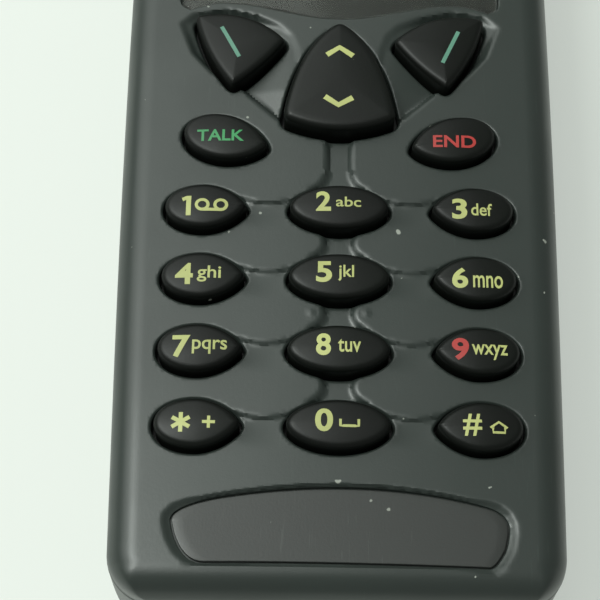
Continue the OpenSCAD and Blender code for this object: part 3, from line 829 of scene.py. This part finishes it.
def half_shell(direction, stations, flat_steps, side_steps, inset=0.0):
    """One half of the body as a closed solid."""
    shares = (0.8, 0.6, 0.4, 0.22, 0.1, 0.045, 0.02, 0.006, 0.0)
    if inset > 0:
        shares = ()
    rows = [section(FOOT_U, direction, flat_steps, side_steps, inset, s) for s in reversed(shares)]
    rows += [section(u, direction, flat_steps, side_steps, inset) for u in stations]
    rows += [section(TOP_U, direction, flat_steps, side_steps, inset, s) for s in shares]
    bm = rows_of_points(rows)
    verts = list(bm.verts)
    across = len(rows[0])
    starts = [verts[k * across] for k in range(len(rows))]
    ends = [verts[(k + 1) * across - 1] for k in range(len(rows))]
    for k in range(len(rows) - 1):
        bm.faces.new((starts[k], ends[k], ends[k + 1], starts[k + 1]))
    return closed_up(bm)


def spaced(first, last, pitch):
    count = max(1, round((last - first) / pitch))
    return [first + (last - first) * i / count for i in range(count)]


def rounded_end(length, steps):
    return [length * (1 - math.cos(math.pi / 2 * i / steps)) for i in range(steps)]


def opening(outline, lip, floor=20.0):
    """A tool that cuts an opening whose upper edge is rounded over."""
    rings = [[(x, u, floor) for x, u in outline]]
    last = math.radians(75)
    for k in range(7):
        angle = last * k / 6
        ring = grown(outline, lip * (1 - math.cos(angle)))
        lift = 0.012 - lip * math.sin(last) + lip * math.sin(angle)
        rings.append([(x, u, skin(x, u) + lift) for x, u in ring])
    ring = grown(outline, lip * (1 - math.cos(last)) + 0.03)
    rings.append([(x, u, skin(x, u) + 1.2) for x, u in ring])
    return stacked(rings)


def prism(outline, z0, z1):
    return stacked([[(x, u, z0) for x, u in outline], [(x, u, z1) for x, u in outline]])


def slot_outline(x0, x1, u0, u1, radius):
    return (arc(x1 - radius, u0 + radius, radius, radius, -90, 0, 8)
            + arc(x1 - radius, u1 - radius, radius, radius, 0, 90, 8)
            + arc(x0 + radius, u1 - radius, radius, radius, 90, 180, 8)
            + arc(x0 + radius, u0 + radius, radius, radius, 180, 270, 8))


HOLLOW_STATIONS = ([FOOT_U + v for v in (0, 0.35, 1.1, 2.1, 3.3, 4.8, 7, 9.5, 12.8)] + spaced(17, 110, 6)
                   + [TOP_U - v for v in (14, 10, 6.5, 3.7, 1.7, 0.5, 0)])


def make_front_cover():
    stations = [FOOT_U + v for v in rounded_end(EDGE_RADIUS, 14)] + spaced(5.4, 14.2, 0.17)
    stations += spaced(14.2, 69, 0.3) + spaced(69, 118, 1.2)
    stations += [TOP_U - v for v in reversed(rounded_end(TOP_CORNER, 14))]
    solid = half_shell(1, stations, 66, 10)
    tools = [half_shell(1, HOLLOW_STATIONS, 8, 4, WALL), block(-19.4, 19.4, 12, 68, 16, 26.25)]
    for outline in KEY_OUTLINES.values():
        tools.append(opening(outline, 0.4))
    tools.append(opening(WINDOW_OUTLINE, 0.16, floor=26.8))
    tools.append(prism(slot_outline(-15.2, 15.2, 72, 100.5, 1.0), 20, 34))
    tools.append(opening(LABEL_OUTLINE, 0.1, floor=27.05))
    for k in range(-2, 3):
        reach = 4.9 - abs(k)
        slot_u = EARPIECE_U + k * 2.1
        tools.append(opening(slot_outline(-reach, reach, slot_u - 0.5, slot_u + 0.5, 0.48), 0.25))
    tools.append(block(-26, -22.95, 82.5, 101.5, 17.6, 23, 0.5))
    tools.append(block(-26, -17.5, 84.7, 99.3, 18.5, 22.1, 0.3))
    tools.append(block(1.4, 10.6, 120, 133, 19.4, 22.9, 0.4))
    tools.append(rod(ANTENNA_X, ANTENNA_Z, 5.3, 118, 133, 64))
    return carve(solid, tools)


piece(make_front_cover(), "front_cover_shell", "handset", COVER, ["front_cover"], sharp=38)


def battery_zone(gap):
    return block(-30, 30, -5, BATTERY_TOP + gap, -5, BATTERY_Z + gap - BATTERY_GAP)


def rear_stations():
    stations = [FOOT_U + v for v in rounded_end(REAR_FOOT_LENGTH, 16)]
    stations += spaced(11.2, 17, 0.6) + spaced(17, 115, 1.6)
    return stations + [TOP_U - v for v in reversed(rounded_end(REAR_TOP_LENGTH, 18))]


def make_rear_cover():
    solid = half_shell(-1, rear_stations(), 26, 26)
    hollow = carve(half_shell(-1, HOLLOW_STATIONS, 8, 8, WALL),
                   [block(-30, 30, -5, BATTERY_TOP + 2.1, -5, BATTERY_Z + 1.6)])
    tools = [hollow, battery_zone(BATTERY_GAP), block(-6.6, 6.6, 1, 5.2, 11.9, 15.5),
             block(-1.6, 1.6, 1, 6, 20.2, 20.9, 0.12),
             rod(-11.6, 13.75, 2.4, 1, 5.7, 40), rod(ANTENNA_X, ANTENNA_Z, 5.3, 117, 133, 64),
             block(-4.6, 4.6, 95, 99.7, 2.4, 6.2), block(-5.1, 5.1, 99, 107.2, -1, 3.2),
             block(-6.4, 6.4, 86, 91.6, 7, 12)]
    for x, u in SCREWS:
        tools.append(post(x, u, 1.25, -1, 19, 32))
        tools.append(post(x, u, 2.2, -1, 6 if u > 100 else 10, 40))
    solid = carve(solid, tools)
    rails = []
    for x in (-13, 13):
        for u in (20, 46, 72):
            rails.append(block(x - 0.6, x + 0.6, u, u + 9, 6.2, BATTERY_Z + 0.2))
            outer = x + math.copysign(1.8, x)
            rails.append(block(min(x, outer), max(x, outer), u, u + 9, 6.2, 7.2))
    return carve(solid, rails, "UNION")


piece(make_rear_cover(), "rear_cover_shell", "handset", COVER, ["rear_cover"], sharp=38)


def make_battery_case():
    solid = half_shell(-1, rear_stations(), 26, 26)
    keep = block(-30, 30, -5, BATTERY_TOP, -5, BATTERY_Z - BATTERY_GAP)
    solid = carve(solid, [keep], "INTERSECT")
    tools = []
    for x in (-13, 13):
        tools.append(block(x - 1, x + 1, 17, BATTERY_TOP + 5, 7.6, 12))
        inner, outer = x - math.copysign(1.1, x), x + math.copysign(2.3, x)
        tools.append(block(min(inner, outer), max(inner, outer), 17, BATTERY_TOP + 5, 5.9, 7.65))
    tools.append(block(-5, 5, 94, 99, 2.1, 6.5))
    for x in (-4.5, -1.5, 1.5, 4.5):
        tools.append(block(x - 1.1, x + 1.1, 86.4, 91.2, 8.1, 12))
    return carve(solid, tools)


piece(make_battery_case(), "battery_shell", "battery", COVER, ["battery_case"], sharp=38)


# Keys


def closing_rings(rim, top_of, crown_height, steps):
    """Rings that close a top, from its rim to its middle."""
    rings = []
    cx, cu = middle([(x, u) for x, u, z in rim])
    for k in range(1, steps + 1):
        share = 1 - k / steps
        ring = []
        for x, u, z in rim:
            px, pu = cx + (x - cx) * share, cu + (u - cu) * share
            settle = z - top_of(x, u)
            ring.append((px, pu, top_of(px, pu) + settle * share ** 3 + crown_height * (1 - share ** 2)))
        rings.append(ring)
    return rings


def cap_rings(outline, gap, top_of, edge, crown_height, flange):
    """Rings of a key from its flange up to the middle of its crown."""
    grow, low, high = flange
    rings = [[(x, u, low) for x, u in grown(outline, grow)], [(x, u, high) for x, u in grown(outline, grow)]]
    wall = grown(outline, -gap)
    rings.append([(x, u, high) for x, u in wall])
    rings.append([(x, u, top_of(x, u) - edge) for x, u in wall])
    steps = 6
    for k in range(1, steps + 1):
        angle = math.pi / 2 * k / steps * 0.92
        ring = grown(outline, -gap - edge * (1 - math.cos(angle)))
        rings.append([(x, u, top_of(x, u) - edge + edge * math.sin(angle)) for x, u in ring])
    return rings + closing_rings(rings[-1], top_of, crown_height, 12)


def key_top(x, u):
    return crown(x, u) + KEY_PROUD


key_trees = {}
for key_name, key_outline in KEY_OUTLINES.items():
    if key_name == "scroll_key":
        continue
    key_bm = stacked(cap_rings(key_outline, KEY_GAP, key_top, 0.7, 0.2, (0.6, 24.7, 25.85)))
    key_trees[key_name] = BVHTree.FromBMesh(key_bm)
    piece(key_bm, key_name + "_cap", key_name, KEY, [key_name], sharp=40)

SCROLL_TOP = 29.85
scroll_bm = stacked(cap_rings(SCROLL_OUTLINE, 0.42, lambda x, u: SCROLL_TOP, 0.8, 0.18, (0.55, 24.9, 25.75)))
key_trees["scroll_key"] = BVHTree.FromBMesh(scroll_bm)
piece(scroll_bm, "scroll_key_cap", "scroll_key", KEY, ["scroll_key"], sharp=40)


# Printed marks


def flat_text(words, x0, x1, u0, u1, weight):
    """Letters as a flat mesh, fitted into a box."""
    curve = bpy.data.curves.new("letters", "FONT")
    curve.body = words
    curve.offset = weight
    curve.resolution_u = 6
    obj = new_object("letters", curve)
    bpy.context.view_layer.update()
    mesh = bpy.data.meshes.new_from_object(obj.evaluated_get(bpy.context.evaluated_depsgraph_get()))
    bm = bmesh.new()
    bm.from_mesh(mesh)
    bpy.data.objects.remove(obj)
    bpy.data.curves.remove(curve)
    bpy.data.meshes.remove(mesh)
    xs = [v.co.x for v in bm.verts]
    ys = [v.co.y for v in bm.verts]
    for v in bm.verts:
        v.co.x = x0 + (x1 - x0) * (v.co.x - min(xs)) / (max(xs) - min(xs))
        v.co.y = u0 + (u1 - u0) * (v.co.y - min(ys)) / (max(ys) - min(ys))
    return bm


def ribbon(path, width, closed=False):
    """A flat line of even width along a path."""
    rows = []
    count = len(path)
    for i, (x, u) in enumerate(path):
        before = path[i - 1] if closed or i > 0 else path[i]
        after = path[(i + 1) % count] if closed or i < count - 1 else path[i]
        along = Vector((after[0] - before[0], after[1] - before[1])).normalized()
        side = Vector((-along.y, along.x)) * width / 2
        rows.append([(x + side.x, u + side.y, 0), (x - side.x, u - side.y, 0)])
    if closed:
        rows.append(rows[0])
    bm = rows_of_points(rows)
    bmesh.ops.remove_doubles(bm, verts=bm.verts, dist=1e-4)
    return bm


def merged(parts):
    result = bmesh.new()
    for part in parts:
        mesh = bpy.data.meshes.new("part")
        part.to_mesh(mesh)
        part.free()
        result.from_mesh(mesh)
        bpy.data.meshes.remove(mesh)
    return result


PRINT_THICKNESS = 0.03
PRINT_SINK = 0.01


def printed(bm, name, key_name, material):
    """Lays a flat mark on a key's top and gives it the thickness of the print."""
    bmesh.ops.triangulate(bm, faces=bm.faces)
    xs = [v.co.x for v in bm.verts]
    us = [v.co.y for v in bm.verts]
    for low, high, normal in ((min(xs), max(xs), Vector((1, 0, 0))), (min(us), max(us), Vector((0, 1, 0)))):
        for cut in spaced(low, high, 0.45)[1:]:
            bmesh.ops.bisect_plane(bm, geom=bm.verts[:] + bm.edges[:] + bm.faces[:],
                                   plane_co=normal * cut, plane_no=normal)
    bmesh.ops.remove_doubles(bm, verts=bm.verts, dist=1e-4)
    tree = key_trees[key_name]
    for v in bm.verts:
        hit = tree.ray_cast(Vector((v.co.x, v.co.y, 60)), Vector((0, 0, -1)))[0]
        v.co.z = (hit.z if hit else FACE_Z + KEY_PROUD) - PRINT_SINK
    for face in bm.faces:
        face.normal_update()
    bmesh.ops.reverse_faces(bm, faces=[f for f in bm.faces if f.normal.z < 0])
    raised = bmesh.ops.extrude_face_region(bm, geom=bm.faces[:])
    bmesh.ops.translate(bm, vec=Vector((0, 0, PRINT_THICKNESS + PRINT_SINK)),
                        verts=[g for g in raised["geom"] if isinstance(g, bmesh.types.BMVert)])
    bmesh.ops.recalc_face_normals(bm, faces=bm.faces)
    return piece(bm, name, key_name, material, sharp=50)


WORDS = [
    ("digit_2", "key_2", "2", (-2.40, -0.86, 41.61, 43.92), 0.03, YELLOW_INK),
    ("letters_2", "key_2", "abc", (-0.35, 2.22, 42.11, 43.27), 0.012, YELLOW_INK),
    ("digit_3", "key_3", "3", (11.54, 13.08, 41.04, 43.34), 0.03, YELLOW_INK),
    ("letters_3", "key_3", "def", (13.48, 15.63, 41.42, 42.80), 0.012, YELLOW_INK),
    ("digit_4", "key_4", "4", (-16.47, -14.67, 33.28, 35.60), 0.03, YELLOW_INK),
    ("letters_4", "key_4", "ghi", (-14.26, -11.86, 33.54, 35.31), 0.012, YELLOW_INK),
    ("digit_5", "key_5", "5", (-2.32, -0.72, 33.62, 35.95), 0.03, YELLOW_INK),
    ("letters_5", "key_5", "jkl", (-0.11, 1.49, 33.76, 35.54), 0.012, YELLOW_INK),
    ("digit_6", "key_6", "6", (11.33, 12.93, 33.29, 35.50), 0.03, YELLOW_INK),
    ("letters_6", "key_6", "mno", (13.42, 16.43, 33.34, 34.66), 0.012, YELLOW_INK),
    ("digit_7", "key_7", "7", (-16.40, -14.63, 25.41, 27.75), 0.03, YELLOW_INK),
    ("letters_7", "key_7", "pqrs", (-14.43, -10.99, 25.77, 27.26), 0.012, YELLOW_INK),
    ("digit_8", "key_8", "8", (-2.25, -0.78, 25.74, 28.08), 0.03, YELLOW_INK),
    ("letters_8", "key_8", "tuv", (-0.09, 2.17, 26.10, 27.48), 0.012, YELLOW_INK),
    ("digit_9", "key_9", "9", (11.12, 12.79, 25.54, 27.87), 0.03, RED_INK),
    ("letters_9", "key_9", "wxyz", (13.07, 16.61, 25.59, 27.18), 0.012, YELLOW_INK),
    ("digit_0", "key_0", "0", (-2.27, -0.54, 17.89, 20.23), 0.03, YELLOW_INK),
    ("mark_hash", "key_hash", "#", (11.96, 13.79, 17.72, 19.95), 0.015, YELLOW_INK),
    ("word_talk", "key_talk", "TALK", (-14.92, -10.01, 49.74, 51.08), 0.02, GREEN_INK),
    ("word_end", "key_end", "END", (9.76, 14.26, 49.36, 50.76), 0.02, RED_INK),
]
for mark_name, key_name, words, (x0, x1, u0, u1), weight, ink in WORDS:
    printed(flat_text(words, x0, x1, u0, u1, weight), mark_name, key_name, ink)

printed(merged([ribbon([(-15.45, 41.03), (-15.45, 43.22)], 0.5),
                ribbon([(-15.6, 43.02), (-16.1, 42.8)], 0.42)]), "digit_1", "key_1", YELLOW_INK)
printed(merged([ribbon(arc(-14.05, 42.22, 0.6, 0.55, 0, 360, 28)[:-1], 0.32, True),
                ribbon(arc(-12.15, 42.22, 0.6, 0.55, 0, 360, 28)[:-1], 0.32, True),
                ribbon([(-14.05, 41.67), (-12.15, 41.67)], 0.32)]), "mark_messages", "key_1", YELLOW_INK)
star_arms = []
for turn in (90, 30, -30):
    c, s = math.cos(math.radians(turn)), math.sin(math.radians(turn))
    star_arms.append(ribbon([(-15.2 - 0.98 * c, 18.7 - 0.98 * s), (-15.2 + 0.98 * c, 18.7 + 0.98 * s)], 0.4))
printed(merged(star_arms), "mark_star", "key_star", YELLOW_INK)
printed(merged([ribbon([(-13.13, 18.73), (-11.89, 18.73)], 0.3),
                ribbon([(-12.51, 18.12), (-12.51, 19.34)], 0.3)]), "mark_plus", "key_star", YELLOW_INK)
printed(ribbon([(0.17, 19.15), (0.17, 18.47), (0.5, 18.47), (1.6, 18.47), (1.93, 18.47),
                (1.93, 19.15)], 0.26), "mark_space", "key_0", YELLOW_INK)
printed(ribbon([(14.85, 18.1), (16.0, 18.1), (16.0, 18.55), (16.25, 18.55), (15.42, 19.15), (14.6, 18.55),
                (14.85, 18.55)], 0.24, True), "mark_home", "key_hash", YELLOW_INK)
printed(ribbon([(-12.8, 63.9), (-10.8, 60.1)], 0.42), "mark_soft_left", "soft_key_left", PALE_GREEN_INK)
printed(ribbon([(12.8, 63.7), (11.0, 59.7)], 0.42), "mark_soft_right", "soft_key_right", PALE_GREEN_INK)
printed(ribbon([(-1.4, 60.15), (-0.05, 61.1), (1.4, 60.05)], 0.62), "mark_up", "scroll_key", YELLOW_INK)
printed(ribbon([(-1.6, 54.95), (-0.15, 53.95), (1.35, 54.85)], 0.62), "mark_down", "scroll_key", YELLOW_INK)


# Window and label plate


def sheet_rings(outline, low, top_of, edge):
    """Rings of a thin sheet from its lower side up to the middle of its top."""
    rings = [[(x, u, low) for x, u in outline], [(x, u, top_of(x, u) - edge) for x, u in outline]]
    for k in range(1, 5):
        angle = math.pi / 2 * k / 4
        ring = grown(outline, -edge * (1 - math.cos(angle)))
        rings.append([(x, u, top_of(x, u) - edge + edge * math.sin(angle)) for x, u in ring])
    return rings + closing_rings(rings[-1], top_of, 0, 14)


piece(stacked(sheet_rings(grown(WINDOW_OUTLINE, -0.15), 26.95, lambda x, u: crown(x, u) - 0.12, 0.12)),
      "window_lens", "handset", WINDOW, ["display_window"], sharp=40)
window_mask = carve(prism(grown(WINDOW_OUTLINE, -0.16), 26.81, 26.9),
                    [prism(slot_outline(-13.9, 13.9, 75.4, 98.6, 1.2), 20, 34)])
piece(window_mask, "window_border", "handset", WINDOW_PRINT)
piece(stacked(sheet_rings(grown(LABEL_OUTLINE, -0.15), 27.05, lambda x, u: 27.5, 0.12)),
      "label_plate_cover", "handset", PLATE, ["label_plate"], sharp=40)


# Side and top controls, battery catch


def make_volume_rocker():
    bar = block(-23.4, -20.9, 85.1, 98.9, 18.9, 21.7, 0.5, 4)
    notch = rod(0, 0, 0.8, -3, 3, 24)
    bmesh.ops.rotate(notch, matrix=Matrix.Rotation(math.pi / 2, 3, "X"), verts=notch.verts)
    bmesh.ops.translate(notch, vec=Vector((-23.8, 92, 20.3)), verts=notch.verts)
    bar = carve(bar, [notch])
    return carve(bar, [block(-21.05, -20.4, 84.2, 99.8, 18.7, 21.9)], "UNION")


piece(make_volume_rocker(), "volume_bar", "volume_rocker", KEY, ["volume_rocker"])


def make_power_key():
    cap = block(1.8, 10.2, 124.2, 131.5, 19.8, 22.5, 0.5, 4)
    return carve(cap, [block(0.6, 11.4, 124.2, 125.6, 19.2, 23.1), block(5.4, 6.6, 123.2, 124.4, 21.9, 22.5)],
                 "UNION")


piece(make_power_key(), "power_button", "power_key", KEY, ["power_key"])


def make_latch():
    slide = block(-4.2, 4.2, 99.5, 105, 0.6, 5.6, 0.35, 3)
    slide = carve(slide, [block(-4.2, 4.2, 94.6, 100.5, 3.2, 5.6)], "UNION")
    ribs = [block(-5, 5, 100.6 + k * 1.1, 101.1 + k * 1.1, 0, 1.1) for k in range(4)]
    return carve(slide, ribs)


piece(make_latch(), "latch_slide", "battery_latch", KEY, ["battery_latch"])


# Floor, light and camera


def pale_floor():
    bm = bmesh.new()
    bmesh.ops.create_grid(bm, x_segments=1, y_segments=1, size=1.6)
    bmesh.ops.translate(bm, vec=Vector((0, 0, -0.0001)), verts=bm.verts)
    floor = mesh_object(bm, "floor")
    material = bpy.data.materials.new("pale_floor")
    material.use_nodes = True
    tree = material.node_tree
    tree.nodes.remove(tree.nodes["Principled BSDF"])
    matt = add(tree, "ShaderNodeBsdfDiffuse")
    matt.inputs["Color"].default_value = paint(232, 236, 230)
    clear = add(tree, "ShaderNodeBsdfTransparent")
    sides = add(tree, "ShaderNodeMixShader")
    tree.links.new(add(tree, "ShaderNodeNewGeometry").outputs["Backfacing"], sides.inputs["Fac"])
    tree.links.new(clear.outputs[0], sides.inputs[2])
    pale = add(tree, "ShaderNodeEmission")
    pale.inputs["Color"].default_value = (0.93, 1.0, 0.93, 1)
    pale.inputs["Strength"].default_value = 0.82
    rays = add(tree, "ShaderNodeLightPath")
    seen = math_node(tree, "ADD", rays.outputs["Is Camera Ray"], rays.outputs["Is Glossy Ray"])
    seen = math_node(tree, "ADD", seen, rays.outputs["Is Transmission Ray"], True)
    seen = math_node(tree, "MULTIPLY", seen, 0.55)
    shown = add(tree, "ShaderNodeMixShader")
    tree.links.new(seen, shown.inputs["Fac"])
    tree.links.new(matt.outputs[0], shown.inputs[1])
    tree.links.new(pale.outputs[0], shown.inputs[2])
    tree.links.new(shown.outputs[0], sides.inputs[1])
    tree.links.new(sides.outputs[0], tree.nodes["Material Output"].inputs["Surface"])
    floor.data.materials.append(material)


pale_floor()

world = bpy.data.worlds.new("studio")
bpy.context.scene.world = world
world.use_nodes = True
world_tree = world.node_tree
for old in list(world_tree.nodes):
    world_tree.nodes.remove(old)
plain = add(world_tree, "ShaderNodeBackground")
plain.inputs["Color"].default_value = (0.95, 1.0, 0.95, 1)
plain.inputs["Strength"].default_value = 0.24
world_tree.links.new(plain.outputs[0], add(world_tree, "ShaderNodeOutputWorld").inputs["Surface"])


def soft_box(name, place, target, size, power):
    lamp = bpy.data.lights.new(name, "AREA")
    lamp.shape = "RECTANGLE"
    lamp.size, lamp.size_y = size
    lamp.energy = power
    lamp.color = (0.94, 1.0, 0.95)
    obj = new_object(name, lamp)
    obj.location = place
    obj.rotation_euler = (Vector(target) - Vector(place)).to_track_quat("-Z", "Y").to_euler()


soft_box("window_light", (-0.72, 0.4, 0.8), (-0.72, 0.4, 0), (1.44, 1.5), 14)
soft_box("door_light", (-0.38, 0.02, 0.8), (-0.02, 0, 0.02), (0.3, 0.3), 3.6)

camera = bpy.data.cameras.new("camera")
camera.sensor_width = 36
camera.lens = 90.93
camera.clip_start = 0.01
camera.clip_end = 10
camera_object = new_object("camera", camera)
elevation = math.radians(66)
back = Vector((0, -math.cos(elevation), math.sin(elevation)))
level = Vector((1, 0, 0))
above = back.cross(level)
roll = math.radians(0.86)
right = level * math.cos(roll) + above * math.sin(roll)
up = above * math.cos(roll) - level * math.sin(roll)
camera_object.matrix_world = Matrix.Translation((-0.00389, -0.10615, 0.16724)) @ Matrix(
    (right, up, back)).transposed().to_4x4()
bpy.context.scene.camera = camera_object
bpy.context.scene.view_settings.view_transform = "Standard"
